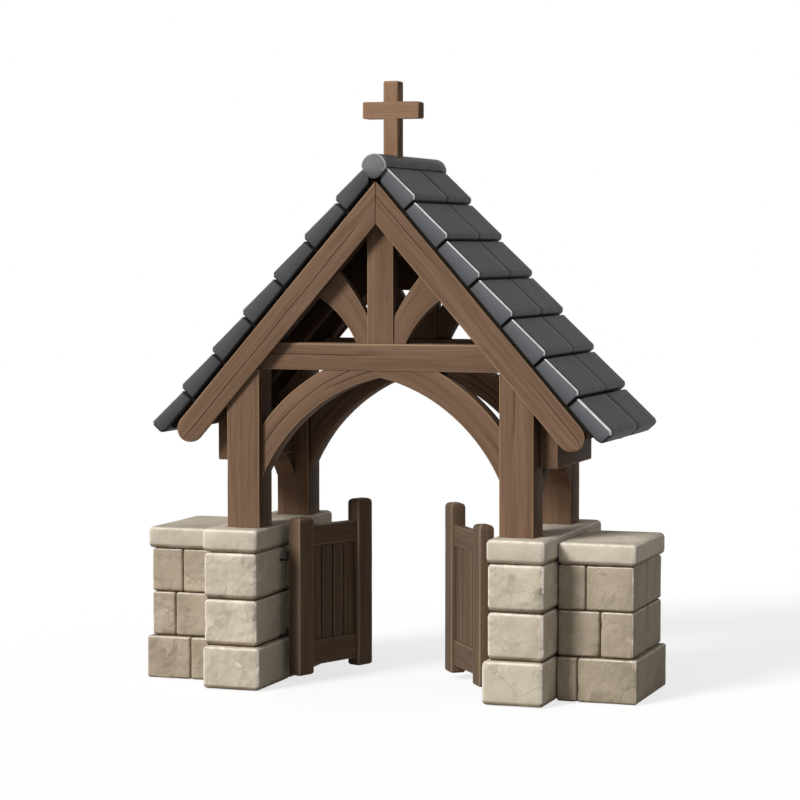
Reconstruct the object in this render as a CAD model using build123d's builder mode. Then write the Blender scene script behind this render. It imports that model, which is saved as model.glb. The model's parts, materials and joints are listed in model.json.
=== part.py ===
from build123d import *
import math
import os

os.makedirs("parts", exist_ok=True)

# Lychgate in millimetres. X runs right along the front gable, Y to the back, Z up,
# and the origin is the middle of the plan at ground level.

# --- Stone walls that carry the posts
wall_inner = 815
wall_outer = 1211
wall_half_length = 735
wall_height = 940
plinth_height = 300
plinth_projection = 30
cap_thickness = 160
cap_overhang = 6
cap_arris = 20
cap_top = wall_height + cap_thickness

# --- Stone wing walls that run outward from them
wing_outer = 1735
wing_front = -420
wing_back = 380
wing_height = 915
wing_cap_thickness = 150
wing_cap_overhang = 20

# --- Oak frame: posts, tie beams and king posts
post_side = 241
post_x = 973
post_setback = 150
post_height = 1084
tie_bearing = 36
tie_depth = 187
tie_thickness = 150
king_width = 190
king_thickness = 120
strut_thickness = 90
brace_thickness = 140

# --- Roof slope, taken from the top edge of the bargeboards
roof_pitch = 48.7
rafter_depth = 150
rafter_thickness = 140
rafter_foot = 1390
common_thickness = 75
common_foot = 1300
collar_drop = 510
collar_depth = 230
deck_thickness = 25
deck_foot = 1505
barge_depth = 192
barge_thickness = 35
barge_foot = 1425
ridge_beam_width = 80
ridge_beam_depth = 244

# --- Arch braces of the front and rear frames, ring segments from crown to post
arch_crown_drop = 45
arch_foot_drop = 748
arch_inner_radius = 1212
arch_brace_depth = 191

# --- Curved struts between the king post and the rafters
strut_foot_x = 177
strut_head_low_x = 450
strut_head_high_x = 300
strut_shoulder_rise = 183
strut_low_bow = 30
strut_high_bow = 10

# --- Eaves plates, housed round the outer corners of the posts, and their side braces
plate_housing = 102
plate_projection = 124
plate_edge_depth = 260
plate_top_rise = 70
plate_grip = 96
side_brace_drop = 170
side_brace_depth = 115
side_brace_reach = 225
side_brace_bow = 22

# --- Stone slates of the roof, laid in lapped courses, with heads dressed level at the ridge
slate_courses = 7
slate_step = 32
slate_rise = 150
slate_first_tip = 300
slate_last_tip = 1650
slate_overhang = 12
slate_head_half = 45
eave_undercut = 37
eave_butt_rise = 12

# --- Ridge roll with stopped ends
roll_radius = 88
roll_rise = 179
roll_stop_clearance = 2
roll_stop_thickness = 22
roll_stop_drop = 80
roll_stop_bow = 14
roll_clearance = 0.3

# --- Wooden cross on the ridge, its arms halved into the shaft
cross_y = -250
cross_width = 107
cross_thickness = 120
cross_height = 519
arm_span = 405
arm_depth = 114
arm_rise = 321

# --- Pair of gate leaves that open to the back
hinge_reach = 65
hinge_y = -300
heel_overlap = 25
meeting_gap = 30
stile_width = 150
stile_thickness = 110
stile_bottom = 55
hinge_stile_top = 1150
meeting_stile_top = 1240
stile_dome = 28
rail_thickness = 70
rail_setback = 20
top_rail_bottom = 945
top_rail_top = 1090
bottom_rail_bottom = 110
bottom_rail_top = 285
board_count = 4
board_width = 96
board_thickness = 28
board_setback = 35
left_rest_angle = 68
right_rest_angle = 54

# --- Hook and band hinges
band_length = 115
band_thickness = 6
band_height = 44
eye_radius = 16
pin_radius = 8
pin_clearance = 0.06
hook_arm_height = 14
hook_arm_width = 22
hook_gap = 0.5
pin_above_eye = 6
eye_clearance = 1
lower_band_rise = 30
upper_band_drop = 36

# --- Sizes that follow from those above
pitch = math.radians(roof_pitch)
slope = math.tan(pitch)
post_inner = post_x - post_side / 2
post_outer = post_x + post_side / 2
post_y = wall_half_length - post_setback - post_side / 2
post_near = post_y - post_side / 2
post_far = post_y + post_side / 2
rafter_low = deck_thickness + rafter_depth
tie_bottom = cap_top + post_height
tie_top = tie_bottom + tie_depth
tie_bearing_x = post_inner + tie_bearing
roof_apex = tie_bottom + slope * tie_bearing_x + rafter_low / math.cos(pitch)
ridge_beam_bottom = roof_apex - ridge_beam_depth
plinth_half_length = wall_half_length + plinth_projection
king_half = king_width / 2
ridge_half = ridge_beam_width / 2
hinge_x = wall_inner - hinge_reach
leaf_heel = -heel_overlap
leaf_toe = hinge_x - meeting_gap / 2
leaf_back = eye_radius + eye_clearance
leaf_front = leaf_back + stile_thickness
lower_band_z = plinth_height + lower_band_rise
upper_band_z = wall_height - upper_band_drop - band_height


def roof_z(x, depth=0):
    """Height, at x from the middle, of the line that lies depth below the bargeboards' top edge."""
    return roof_apex - slope * abs(x) - depth / math.cos(pitch)


def on_slope(run, rise):
    """Point at a run down the slope from the apex and a rise square to it."""
    x = run * math.cos(pitch) + rise * math.sin(pitch)
    z = roof_apex - run * math.sin(pitch) + rise * math.cos(pitch)
    return (x, z)


def side_of(points, side):
    """The same outline on the right for side 1 and mirrored to the left for side -1."""
    return [(side * x, z) for x, z in points]


def bowed(start, end, bow):
    """Middle point of an arc from start to end that bows out by the given amount to its left."""
    run_x = end[0] - start[0]
    run_z = end[1] - start[1]
    length = math.hypot(run_x, run_z)
    mid_x = (start[0] + end[0]) / 2 - bow * run_z / length
    mid_z = (start[1] + end[1]) / 2 + bow * run_x / length
    return (mid_x, mid_z)


def facing(y_back):
    """Sketch plane parallel to the gable, at y_back; solids are drawn out of it to the front."""
    return Plane.XZ.offset(-y_back)


def save(piece, name):
    """Label a finished piece and write it out under its own name."""
    piece.part.label = name
    export_step(piece.part, "parts/" + name + ".step")


# The walls that carry the posts stand front to back; each has a plinth course that steps out
# on three sides and stops where the wing wall is bonded against it.
for side, hand in ((-1, "left"), (1, "right")):
    with BuildPart() as pier_wall:
        with BuildSketch(Plane.XY):
            with Locations((side * (wall_inner + wall_outer) / 2, 0)):
                Rectangle(wall_outer - wall_inner, 2 * wall_half_length)
        extrude(amount=wall_height)
        with BuildSketch(Plane.XY):
            with Locations((side * (wall_inner + wall_outer) / 2, 0)):
                Rectangle(wall_outer - wall_inner + 2 * plinth_projection, 2 * plinth_half_length)
        extrude(amount=plinth_height)
        with BuildSketch(Plane.XY):
            with Locations((side * (wall_outer + plinth_projection), (wing_front + wing_back) / 2)):
                Rectangle(2 * plinth_projection, wing_back - wing_front + 2 * plinth_projection)
        extrude(amount=plinth_height, mode=Mode.SUBTRACT)
    save(pier_wall, "pier_wall_" + hand)

    with BuildPart() as pier_cap:
        with BuildSketch(Plane.XY.offset(wall_height)):
            with Locations((side * (wall_inner + wall_outer) / 2, 0)):
                Rectangle(wall_outer - wall_inner + 2 * cap_overhang, 2 * (wall_half_length + cap_overhang))
        extrude(amount=cap_thickness)
        chamfer(pier_cap.faces().sort_by(Axis.Z)[-1].edges(), length=cap_arris)
    save(pier_cap, "pier_cap_" + hand)

    with BuildPart() as wing_wall:
        with BuildSketch(Plane.XY):
            with Locations((side * (wall_outer + wing_outer) / 2, (wing_front + wing_back) / 2)):
                Rectangle(wing_outer - wall_outer, wing_back - wing_front)
        extrude(amount=wing_height)
        wing_plinth_length = wing_outer - wall_outer + plinth_projection
        with BuildSketch(Plane.XY):
            with Locations((side * (wall_outer + wing_plinth_length / 2), (wing_front + wing_back) / 2)):
                Rectangle(wing_plinth_length, wing_back - wing_front + 2 * plinth_projection)
        extrude(amount=plinth_height)
    save(wing_wall, "wing_wall_" + hand)

    wing_cap_inner = wall_outer + cap_overhang
    wing_cap_outer = wing_outer + wing_cap_overhang
    with BuildPart() as wing_cap:
        with BuildSketch(Plane.XY.offset(wing_height)):
            with Locations((side * (wing_cap_inner + wing_cap_outer) / 2, (wing_front + wing_back) / 2)):
                Rectangle(wing_cap_outer - wing_cap_inner, wing_back - wing_front + 2 * wing_cap_overhang)
        extrude(amount=wing_cap_thickness)
        open_edges = wing_cap.faces().sort_by(Axis.Z)[-1].edges().sort_by(Axis.X)
        chamfer(open_edges[1:] if side > 0 else open_edges[:-1], length=cap_arris)
    save(wing_cap, "wing_cap_" + hand)

# Four square posts stand on the caps. Each head is cut to the underside of the rafter and
# levelled on its inner corner, where the end of the tie beam bears on it.
post_outline = [
    (post_inner, cap_top),
    (post_outer, cap_top),
    (post_outer, roof_z(post_outer, rafter_low)),
    (tie_bearing_x, tie_bottom),
    (post_inner, tie_bottom),
]
for end, place in ((-1, "front"), (1, "rear")):
    for side, hand in ((-1, "left"), (1, "right")):
        with BuildPart() as post:
            with BuildSketch(facing(end * post_y + post_side / 2)):
                Polygon(*side_of(post_outline, side), align=None)
            extrude(amount=post_side)
        save(post, "post_" + place + "_" + hand)

# Tie beam of each frame, its ends cut to lie under the rafters.
tie_top_x = (roof_z(0, rafter_low) - tie_top) / slope
tie_outline = [
    (-tie_bearing_x, tie_bottom),
    (tie_bearing_x, tie_bottom),
    (tie_top_x, tie_top),
    (-tie_top_x, tie_top),
]
for end, place in ((-1, "front"), (1, "rear")):
    with BuildPart() as tie_beam:
        with BuildSketch(facing(end * post_y + tie_thickness / 2)):
            Polygon(*tie_outline, align=None)
        extrude(amount=tie_thickness)
    save(tie_beam, "tie_beam_" + place)

# King post of each frame. It stands on the tie beam and its forked head holds the ridge beam.
king_outline = [
    (-king_half, tie_top),
    (king_half, tie_top),
    (king_half, roof_z(king_half, deck_thickness)),
    (ridge_half, roof_z(ridge_half, deck_thickness)),
    (ridge_half, ridge_beam_bottom),
    (-ridge_half, ridge_beam_bottom),
    (-ridge_half, roof_z(ridge_half, deck_thickness)),
    (-king_half, roof_z(king_half, deck_thickness)),
]
for end, place in ((-1, "front"), (1, "rear")):
    with BuildPart() as king_post:
        with BuildSketch(facing(end * post_y + king_thickness / 2)):
            Polygon(*king_outline, align=None)
        extrude(amount=king_thickness)
    save(king_post, "king_post_" + place)

# Curved struts spring from the foot of each king post, where they bear on the tie beam too,
# and run out to the underside of the rafters.
strut_low_head = (strut_head_low_x, roof_z(strut_head_low_x, rafter_low))
strut_high_head = (strut_head_high_x, roof_z(strut_head_high_x, rafter_low))
strut_toe = (strut_foot_x, tie_top)
strut_heel = (king_half, tie_top)
strut_shoulder = (king_half, tie_top + strut_shoulder_rise)
with BuildPart() as king_struts:
    with BuildSketch(facing(-post_y + strut_thickness / 2)):
        with BuildLine():
            Line(strut_heel, strut_toe)
            ThreePointArc(strut_toe, bowed(strut_toe, strut_low_head, strut_low_bow), strut_low_head)
            Line(strut_low_head, strut_high_head)
            ThreePointArc(strut_high_head, bowed(strut_high_head, strut_shoulder, -strut_high_bow),
                          strut_shoulder)
            Line(strut_shoulder, strut_heel)
        make_face()
    extrude(amount=strut_thickness)
    mirror(about=Plane.YZ)
    mirror(about=Plane.XZ)
save(king_struts, "king_struts")

# Arch braces: each is a ring segment cut from a wide plank, from the inner face of a post to
# the underside of the tie beam, where the pair meets in a plumb butt joint under its middle.
arch_outer_radius = arch_inner_radius + arch_brace_depth
arch_crown_z = tie_bottom - arch_crown_drop
arch_foot_z = tie_bottom - arch_foot_drop
arch_chord = math.hypot(post_inner, arch_crown_z - arch_foot_z)
arch_reach = math.sqrt(arch_inner_radius**2 - (arch_chord / 2) ** 2)
arch_centre_x = post_inner / 2 - arch_reach * (arch_crown_z - arch_foot_z) / arch_chord
arch_centre_z = (arch_crown_z + arch_foot_z) / 2 - arch_reach * post_inner / arch_chord


def arch_point(radius, x):
    """Point of a brace's curve at x, above the centre of its ring."""
    return (x, arch_centre_z + math.sqrt(radius**2 - (x - arch_centre_x) ** 2))


arch_crown = arch_point(arch_inner_radius, 0)
arch_foot = arch_point(arch_inner_radius, post_inner)
arch_shoulder = arch_point(arch_outer_radius, post_inner)
arch_tie_x = arch_centre_x + math.sqrt(arch_outer_radius**2 - (tie_bottom - arch_centre_z) ** 2)
arch_inner_mid = arch_point(arch_inner_radius, post_inner / 2)
arch_outer_mid = arch_point(arch_outer_radius, (post_inner + arch_tie_x) / 2)
for end, place in ((-1, "front"), (1, "rear")):
    for side, hand in ((-1, "left"), (1, "right")):
        with BuildPart() as arch_brace:
            with BuildSketch(facing(end * post_y + brace_thickness / 2)):
                with BuildLine():
                    p = side_of([arch_crown, arch_inner_mid, arch_foot, arch_shoulder, arch_outer_mid,
                                 (arch_tie_x, tie_bottom), (0, tie_bottom)], side)
                    ThreePointArc(p[0], p[1], p[2])
                    Line(p[2], p[3])
                    ThreePointArc(p[3], p[4], p[5])
                    Line(p[5], p[6])
                    Line(p[6], p[0])
                make_face()
            extrude(amount=brace_thickness)
        save(arch_brace, "arch_brace_" + place + "_" + hand)

# Eaves plates run from frame to frame. Each is housed round the outer corners of its posts,
# and the top is planed to the slope of the common rafters it carries.
plate_inner = post_inner + plate_housing
plate_outer = post_outer + plate_projection
plate_bottom = roof_z(plate_outer, rafter_low) - plate_edge_depth
plate_top = roof_z(plate_outer, rafter_low) + plate_top_rise
plate_half_length = post_near + plate_grip
plate_outline = [
    (plate_inner, plate_bottom),
    (plate_outer, plate_bottom),
    (plate_outer, roof_z(plate_outer, rafter_low)),
    ((roof_z(0, rafter_low) - plate_top) / slope, plate_top),
    (plate_inner, plate_top),
]
with BuildPart() as eaves_plates:
    with BuildSketch(facing(plate_half_length)):
        Polygon(*plate_outline, align=None)
    extrude(amount=2 * plate_half_length)
    with BuildSketch(Plane.XY.offset(plate_bottom)):
        with Locations((post_x, post_y), (post_x, -post_y)):
            Rectangle(post_side, post_side)
    extrude(amount=plate_top - plate_bottom, mode=Mode.SUBTRACT)
    mirror(about=Plane.YZ)
save(eaves_plates, "eaves_plates")

# Short curved side braces stand in the angle of each post and the plate above.
side_brace_foot_z = plate_bottom - side_brace_drop
side_brace_foot = (post_near, side_brace_foot_z)
side_brace_heel = (post_near, side_brace_foot_z + side_brace_depth)
side_brace_toe = (post_near - side_brace_reach, plate_bottom)
side_brace_head = (post_near - side_brace_reach + side_brace_depth, plate_bottom)
with BuildPart() as side_braces:
    with BuildSketch(Plane.YZ.offset(plate_inner)):
        with BuildLine():
            ThreePointArc(side_brace_toe, bowed(side_brace_toe, side_brace_foot, side_brace_bow),
                          side_brace_foot)
            Line(side_brace_foot, side_brace_heel)
            ThreePointArc(side_brace_heel, bowed(side_brace_heel, side_brace_head, -side_brace_bow / 2),
                          side_brace_head)
            Line(side_brace_head, side_brace_toe)
        make_face()
    extrude(amount=post_outer - plate_inner)
    mirror(about=Plane.XZ)
    mirror(about=Plane.YZ)
save(side_braces, "side_braces")

# Ridge beam, with its top planed to both slopes.
ridge_outline = [
    (-ridge_half, ridge_beam_bottom),
    (ridge_half, ridge_beam_bottom),
    (ridge_half, roof_z(ridge_half, deck_thickness)),
    (0, roof_z(0, deck_thickness)),
    (-ridge_half, roof_z(ridge_half, deck_thickness)),
]
with BuildPart() as ridge_beam:
    with BuildSketch(facing(post_far)):
        Polygon(*ridge_outline, align=None)
    extrude(amount=2 * post_far)
save(ridge_beam, "ridge_beam")

# Principal rafters lie over the posts and butt on the sides of the king posts.
principal_outline = [
    (king_half, roof_z(king_half, deck_thickness)),
    (king_half, roof_z(king_half, rafter_low)),
    (rafter_foot, roof_z(rafter_foot, rafter_low)),
    (rafter_foot, roof_z(rafter_foot, deck_thickness)),
]
with BuildPart() as principal_rafters:
    with BuildSketch(facing(post_far)):
        Polygon(*principal_outline, align=None)
    extrude(amount=rafter_thickness)
    mirror(about=Plane.YZ)
    mirror(about=Plane.XZ)
save(principal_rafters, "principal_rafters")

# One pair of common rafters in mid bay, from the ridge beam over the eaves plates, with a
# collar halved and pegged between them.
collar_top = roof_apex - collar_drop
collar_bottom = collar_top - collar_depth
common_outline = [
    (ridge_half, roof_z(ridge_half, deck_thickness)),
    (ridge_half, roof_z(ridge_half, rafter_low)),
    (common_foot, roof_z(common_foot, rafter_low)),
    (common_foot, roof_z(common_foot, deck_thickness)),
]


def collar_reach(z):
    """Half length of the collar at height z, where it is let into the rafters by half their depth."""
    return (roof_z(0, deck_thickness + rafter_depth / 2) - z) / slope


with BuildPart() as common_rafters:
    with BuildSketch(facing(common_thickness / 2)):
        Polygon(*common_outline, align=None)
        Polygon(
            (0, collar_bottom),
            (collar_reach(collar_bottom), collar_bottom),
            (collar_reach(collar_top), collar_top),
            (0, collar_top),
            align=None,
        )
    extrude(amount=common_thickness)
    mirror(about=Plane.YZ)
save(common_rafters, "common_rafters")

# Boarded deck on the rafters, between the bargeboards of the two gables.
deck_end_x = deck_foot - deck_thickness * math.sin(pitch)
deck_end_z = roof_z(deck_foot) - deck_thickness * math.cos(pitch)
deck_outline = [
    (0, roof_z(0, deck_thickness)),
    (0, roof_apex),
    (deck_foot, roof_z(deck_foot)),
    (deck_end_x, deck_end_z),
]
with BuildPart() as roof_deck:
    for side in (-1, 1):
        with BuildSketch(facing(post_far)):
            Polygon(*side_of(deck_outline, side), align=None)
        extrude(amount=2 * post_far)
save(roof_deck, "roof_deck")

# Bargeboards on the rafter faces of each gable, mitred plumb at the apex, with rounded feet.
barge_end_x = barge_foot + barge_depth / 2 * math.sin(pitch)
barge_end_top = (barge_end_x, roof_z(barge_end_x))
barge_low_x = barge_foot - barge_depth / 2 * math.sin(pitch)
barge_end_low = (barge_low_x, roof_z(barge_low_x, barge_depth))
barge_centre_z = roof_z(barge_foot, barge_depth / 2)
barge_tip = (barge_foot + barge_depth / 2 * math.cos(pitch), barge_centre_z - barge_depth / 2 * math.sin(pitch))
for end, place in ((-1, "front"), (1, "rear")):
    for side, hand in ((-1, "left"), (1, "right")):
        with BuildPart() as bargeboard:
            with BuildSketch(facing(end * (post_far + barge_thickness / 2) + barge_thickness / 2)):
                with BuildLine():
                    p = side_of([(0, roof_apex), barge_end_top, barge_tip, barge_end_low,
                                 (0, roof_z(0, barge_depth))], side)
                    Line(p[0], p[1])
                    ThreePointArc(p[1], p[2], p[3])
                    Line(p[3], p[4])
                    Line(p[4], p[0])
                make_face()
            extrude(amount=barge_thickness)
        save(bargeboard, "bargeboard_" + place + "_" + hand)

# Stone slates: each course rests on the one below and tilts up to its lower edge, so the
# slope falls in steps. The eaves course is thicker and its butt is undercut to throw the rain
# clear. One solid a side carries all the courses.
slate_half_length = post_far + barge_thickness + slate_overhang
slate_run_gain = (slate_last_tip - slate_first_tip) / (slate_courses - 1) / math.cos(pitch)
slate_tip_run = (slate_first_tip - slate_rise * math.sin(pitch)) / math.cos(pitch)
slate_low = slate_rise - slate_step
slate_tilt = slate_step / slate_run_gain
slate_top_slope = math.tan(pitch - math.atan(slate_tilt))
first_tip = on_slope(slate_tip_run, slate_rise)
slate_seat_z = first_tip[1] + (first_tip[0] - slate_head_half) * slate_top_slope
slate_outline = [(0, roof_apex), (0, slate_seat_z), (slate_head_half, slate_seat_z)]
for course in range(slate_courses - 1):
    tip_run = slate_tip_run + course * slate_run_gain
    slate_outline.append(on_slope(tip_run, slate_rise))
    slate_outline.append(on_slope(tip_run, slate_low))
eave_run = slate_tip_run + (slate_courses - 1) * slate_run_gain
slate_outline.append(on_slope(eave_run, slate_rise))
slate_outline.append(on_slope(eave_run - eave_undercut, eave_butt_rise))
slate_outline.append(on_slope(eave_run - eave_undercut, 0))
for side, hand in ((-1, "left"), (1, "right")):
    with BuildPart() as roof_slates:
        with BuildSketch(facing(slate_half_length)):
            Polygon(*side_of(slate_outline, side), align=None)
        extrude(amount=2 * slate_half_length)
    save(roof_slates, "roof_slates_" + hand)

# The ridge roll straddles the top courses; a pointed stop closes each end over the verge.
roll_top = roof_apex + roll_rise
roll_centre_z = roll_top - roll_radius
roll_half_length = slate_half_length + roll_stop_clearance
seat_z = slate_seat_z + roll_clearance
seat_reach = 3 * roll_radius
seat_fall = (seat_reach - slate_head_half) * slate_top_slope
roll_side = (roll_radius, roll_centre_z)
stop_point = (0, roll_centre_z - roll_stop_drop)
cross_seat_z = roll_centre_z + math.sqrt(roll_radius**2 - (cross_width / 2) ** 2)
with BuildPart() as ridge_roll:
    with BuildSketch(facing(roll_half_length)):
        with Locations((0, roll_centre_z)):
            Circle(roll_radius)
        Polygon(
            (-slate_head_half, seat_z),
            (slate_head_half, seat_z),
            (seat_reach, seat_z - seat_fall),
            (-seat_reach, seat_z - seat_fall),
            align=None,
            mode=Mode.SUBTRACT,
        )
    extrude(amount=2 * roll_half_length)
    for end in (-1, 1):
        stop_back = end * (roll_half_length + roll_stop_thickness / 2) + roll_stop_thickness / 2
        with BuildSketch(facing(stop_back)):
            with BuildLine():
                p = side_of([roll_side, bowed(stop_point, roll_side, -roll_stop_bow), stop_point], -1)
                ThreePointArc(p[0], (0, roll_top), roll_side)
                ThreePointArc(roll_side, bowed(stop_point, roll_side, -roll_stop_bow), stop_point)
                ThreePointArc(p[2], p[1], p[0])
            make_face()
        extrude(amount=roll_stop_thickness)
    with BuildSketch(Plane.XY.offset(cross_seat_z)):
        with Locations((0, cross_y)):
            Rectangle(2 * roll_radius, cross_thickness)
    extrude(amount=roll_radius, mode=Mode.SUBTRACT)
save(ridge_roll, "ridge_roll")

# The cross stands on a flat cut in the roll. Shaft and arms are halved into each other, the
# arms let into the front of the shaft.
arm_low = cross_seat_z + arm_rise - arm_depth / 2
with BuildPart() as cross_shaft:
    with BuildSketch(Plane.XY.offset(cross_seat_z)):
        with Locations((0, cross_y)):
            Rectangle(cross_width, cross_thickness)
    extrude(amount=cross_height)
    with BuildSketch(Plane.XY.offset(arm_low)):
        with Locations((0, cross_y - cross_thickness / 4)):
            Rectangle(cross_width, cross_thickness / 2)
    extrude(amount=arm_depth, mode=Mode.SUBTRACT)
save(cross_shaft, "cross_shaft")

with BuildPart() as cross_arms:
    with BuildSketch(Plane.XY.offset(arm_low)):
        with Locations((0, cross_y)):
            Rectangle(arm_span, cross_thickness)
        with Locations((0, cross_y + cross_thickness / 4)):
            Rectangle(cross_width, cross_thickness / 2, mode=Mode.SUBTRACT)
    extrude(amount=arm_depth)
save(cross_arms, "cross_arms")

# Gate leaves, drawn in the half-open pose of the rest position. Each leaf is framed by a hinge
# stile and a taller meeting stile, both with domed heads, and by two rails tenoned between
# them; upright boards stand in the frame, set back from the front of the stiles.
board_pitch = (leaf_toe - leaf_heel - 2 * stile_width) / board_count
for side, hand, angle in ((-1, "left", left_rest_angle), (1, "right", right_rest_angle)):
    turn = math.radians(angle)
    along = (-side * math.cos(turn), math.sin(turn), 0)
    pivot = (side * hinge_x, hinge_y, 0)
    leaf_face = Plane(origin=pivot, x_dir=along, z_dir=(math.sin(turn), side * math.cos(turn), 0))
    leaf_plan = Plane(origin=pivot, x_dir=along, z_dir=(0, 0, 1))
    to_front = -side
    rail_length = leaf_toe - leaf_heel - 2 * stile_width
    rail_middle = (leaf_heel + leaf_toe) / 2

    with BuildPart() as gate_stiles:
        for start, top in ((leaf_heel, hinge_stile_top), (leaf_toe - stile_width, meeting_stile_top)):
            with BuildSketch(leaf_face.offset(to_front * leaf_back)):
                with BuildLine():
                    Line((start, top - stile_dome), (start, stile_bottom))
                    Line((start, stile_bottom), (start + stile_width, stile_bottom))
                    Line((start + stile_width, stile_bottom), (start + stile_width, top - stile_dome))
                    ThreePointArc(
                        (start + stile_width, top - stile_dome),
                        (start + stile_width / 2, top),
                        (start, top - stile_dome),
                    )
                make_face()
            extrude(amount=to_front * stile_thickness)
    save(gate_stiles, hand + "_gate_stiles")

    rail_back = leaf_front - rail_setback - rail_thickness
    with BuildPart() as gate_rails:
        for low, high in ((bottom_rail_bottom, bottom_rail_top), (top_rail_bottom, top_rail_top)):
            with BuildSketch(leaf_face.offset(to_front * rail_back)):
                with Locations((rail_middle, (low + high) / 2)):
                    Rectangle(rail_length, high - low)
            extrude(amount=to_front * rail_thickness)
    save(gate_rails, hand + "_gate_rails")

    board_back = leaf_front - board_setback - board_thickness
    with BuildPart() as gate_boards:
        with BuildSketch(leaf_face.offset(to_front * board_back)):
            for number in range(board_count):
                board_middle = leaf_heel + stile_width + (number + 0.5) * board_pitch
                with Locations((board_middle, (bottom_rail_top + top_rail_bottom) / 2)):
                    Rectangle(board_width, top_rail_bottom - bottom_rail_top)
        extrude(amount=to_front * board_thickness)
    save(gate_boards, hand + "_gate_boards")

    # Iron bands lie on the back of the hinge stile and end in eyes that drop over the pins.
    band_middle = leaf_back - band_thickness / 2
    with BuildPart() as gate_bands:
        for band_z in (lower_band_z, upper_band_z):
            with BuildSketch(leaf_plan.offset(band_z)):
                Circle(eye_radius)
                with Locations((band_length / 2, side * band_middle)):
                    Rectangle(band_length, band_thickness)
                Circle(pin_radius + pin_clearance, mode=Mode.SUBTRACT)
            extrude(amount=band_height)
    save(gate_bands, hand + "_gate_bands")

# Hooks leaded into the wall between plinth and cap: an arm out of the stone and an upright pin.
with BuildPart() as gate_hooks:
    for side in (-1, 1):
        for band_z in (lower_band_z, upper_band_z):
            arm_bottom = band_z - hook_gap - hook_arm_height
            with BuildSketch(Plane.XY.offset(arm_bottom)):
                with Locations((side * hinge_x, hinge_y)):
                    Circle(hook_arm_width / 2)
                with Locations((side * (hinge_x + wall_inner) / 2, hinge_y)):
                    Rectangle(wall_inner - hinge_x, hook_arm_width)
            extrude(amount=hook_arm_height)
            with BuildSketch(Plane.XY.offset(arm_bottom)):
                with Locations((side * hinge_x, hinge_y)):
                    Circle(pin_radius)
            extrude(amount=hook_arm_height + hook_gap + band_height + pin_above_eye)
save(gate_hooks, "gate_hooks")
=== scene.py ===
import json
import math
import random

import bmesh
import bpy
from mathutils import Matrix, Vector, noise


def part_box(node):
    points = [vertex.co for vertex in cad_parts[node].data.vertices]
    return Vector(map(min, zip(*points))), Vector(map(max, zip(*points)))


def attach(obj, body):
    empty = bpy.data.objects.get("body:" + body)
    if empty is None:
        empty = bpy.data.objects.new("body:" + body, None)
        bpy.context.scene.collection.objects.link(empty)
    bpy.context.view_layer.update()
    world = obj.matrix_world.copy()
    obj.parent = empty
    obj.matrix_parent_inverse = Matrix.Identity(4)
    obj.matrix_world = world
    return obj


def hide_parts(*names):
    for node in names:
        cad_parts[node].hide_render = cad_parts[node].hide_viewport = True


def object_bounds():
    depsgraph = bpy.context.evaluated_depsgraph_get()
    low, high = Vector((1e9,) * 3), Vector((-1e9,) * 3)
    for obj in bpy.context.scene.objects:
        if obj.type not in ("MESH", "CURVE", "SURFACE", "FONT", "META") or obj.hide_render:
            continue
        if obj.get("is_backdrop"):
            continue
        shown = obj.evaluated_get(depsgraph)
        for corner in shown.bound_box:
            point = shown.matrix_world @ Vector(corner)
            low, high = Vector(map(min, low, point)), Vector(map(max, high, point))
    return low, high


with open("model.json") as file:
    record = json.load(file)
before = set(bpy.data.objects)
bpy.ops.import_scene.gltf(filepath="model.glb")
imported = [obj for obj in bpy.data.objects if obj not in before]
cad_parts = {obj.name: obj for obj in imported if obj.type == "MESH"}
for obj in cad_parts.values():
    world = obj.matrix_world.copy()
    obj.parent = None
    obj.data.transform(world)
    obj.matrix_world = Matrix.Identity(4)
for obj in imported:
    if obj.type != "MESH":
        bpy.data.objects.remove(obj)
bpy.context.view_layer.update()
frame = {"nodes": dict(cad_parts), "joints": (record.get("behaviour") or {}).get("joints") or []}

# Pier walls: through stones of pale sandstone, two or three to a course, sawn to size with a tooled
# face and eased arrises, bedded in lime mortar. The lowest course steps out as a plinth.
stone_arris = 0.036
stone_joint = 0.002
stone_grid = 0.034
stone_relief = 0.0042
plinth_step = 0.03
mortar_depth = 0.024
mortar_foot = 0.002
mortar_grid = 0.2
chip_depth = 0.008
chip_reach = (0.03, 0.055)
pale_share, lower_arris_shade_share = 0.4, 0.9
smooth_angle = math.radians(35)
course_tops = (0.30, 0.62, 0.94)
pier_stone_ends = ((-0.765, -0.16, 0.27, 0.765), (-0.735, 0.03, 0.735), (-0.735, -0.17, 0.24, 0.735))
hands = ((-1, "left"), (1, "right"))
draw = random.Random(7)


def colour(code):
    """The linear colour of an sRGB hex code."""
    shares = [int(code[i:i + 2], 16) / 255 for i in (1, 3, 5)]
    return [s / 12.92 if s <= 0.04045 else ((s + 0.055) / 1.055) ** 2.4 for s in shares] + [1.0]


def adder(tree):
    """The one function that adds a node to the tree, with its settings and links."""

    def add(kind, inputs=(), **settings):
        """Adds a node and returns its outputs. inputs holds values and links in the order of the
        sockets, or by socket in a dictionary, and a colour as its hex code."""
        made = tree.nodes.new("ShaderNode" + kind)
        for name, value in settings.items():
            setattr(made, name, value)
        for socket, value in inputs.items() if isinstance(inputs, dict) else enumerate(inputs):
            if isinstance(value, bpy.types.NodeSocket):
                tree.links.new(value, made.inputs[socket])
            else:
                made.inputs[socket].default_value = colour(value) if isinstance(value, str) else value
        return made.outputs

    return add


def start_material(name, roughness, gloss=0.04):
    """A material, its shader with roughness and gloss set, and the function that adds its nodes."""
    made = bpy.data.materials.new(name)
    made.use_nodes = True
    shader = made.node_tree.nodes["Principled BSDF"]
    shader.inputs["Roughness"].default_value = roughness
    shader.inputs["Specular IOR Level"].default_value = gloss
    return made, shader, adder(made.node_tree)


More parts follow.
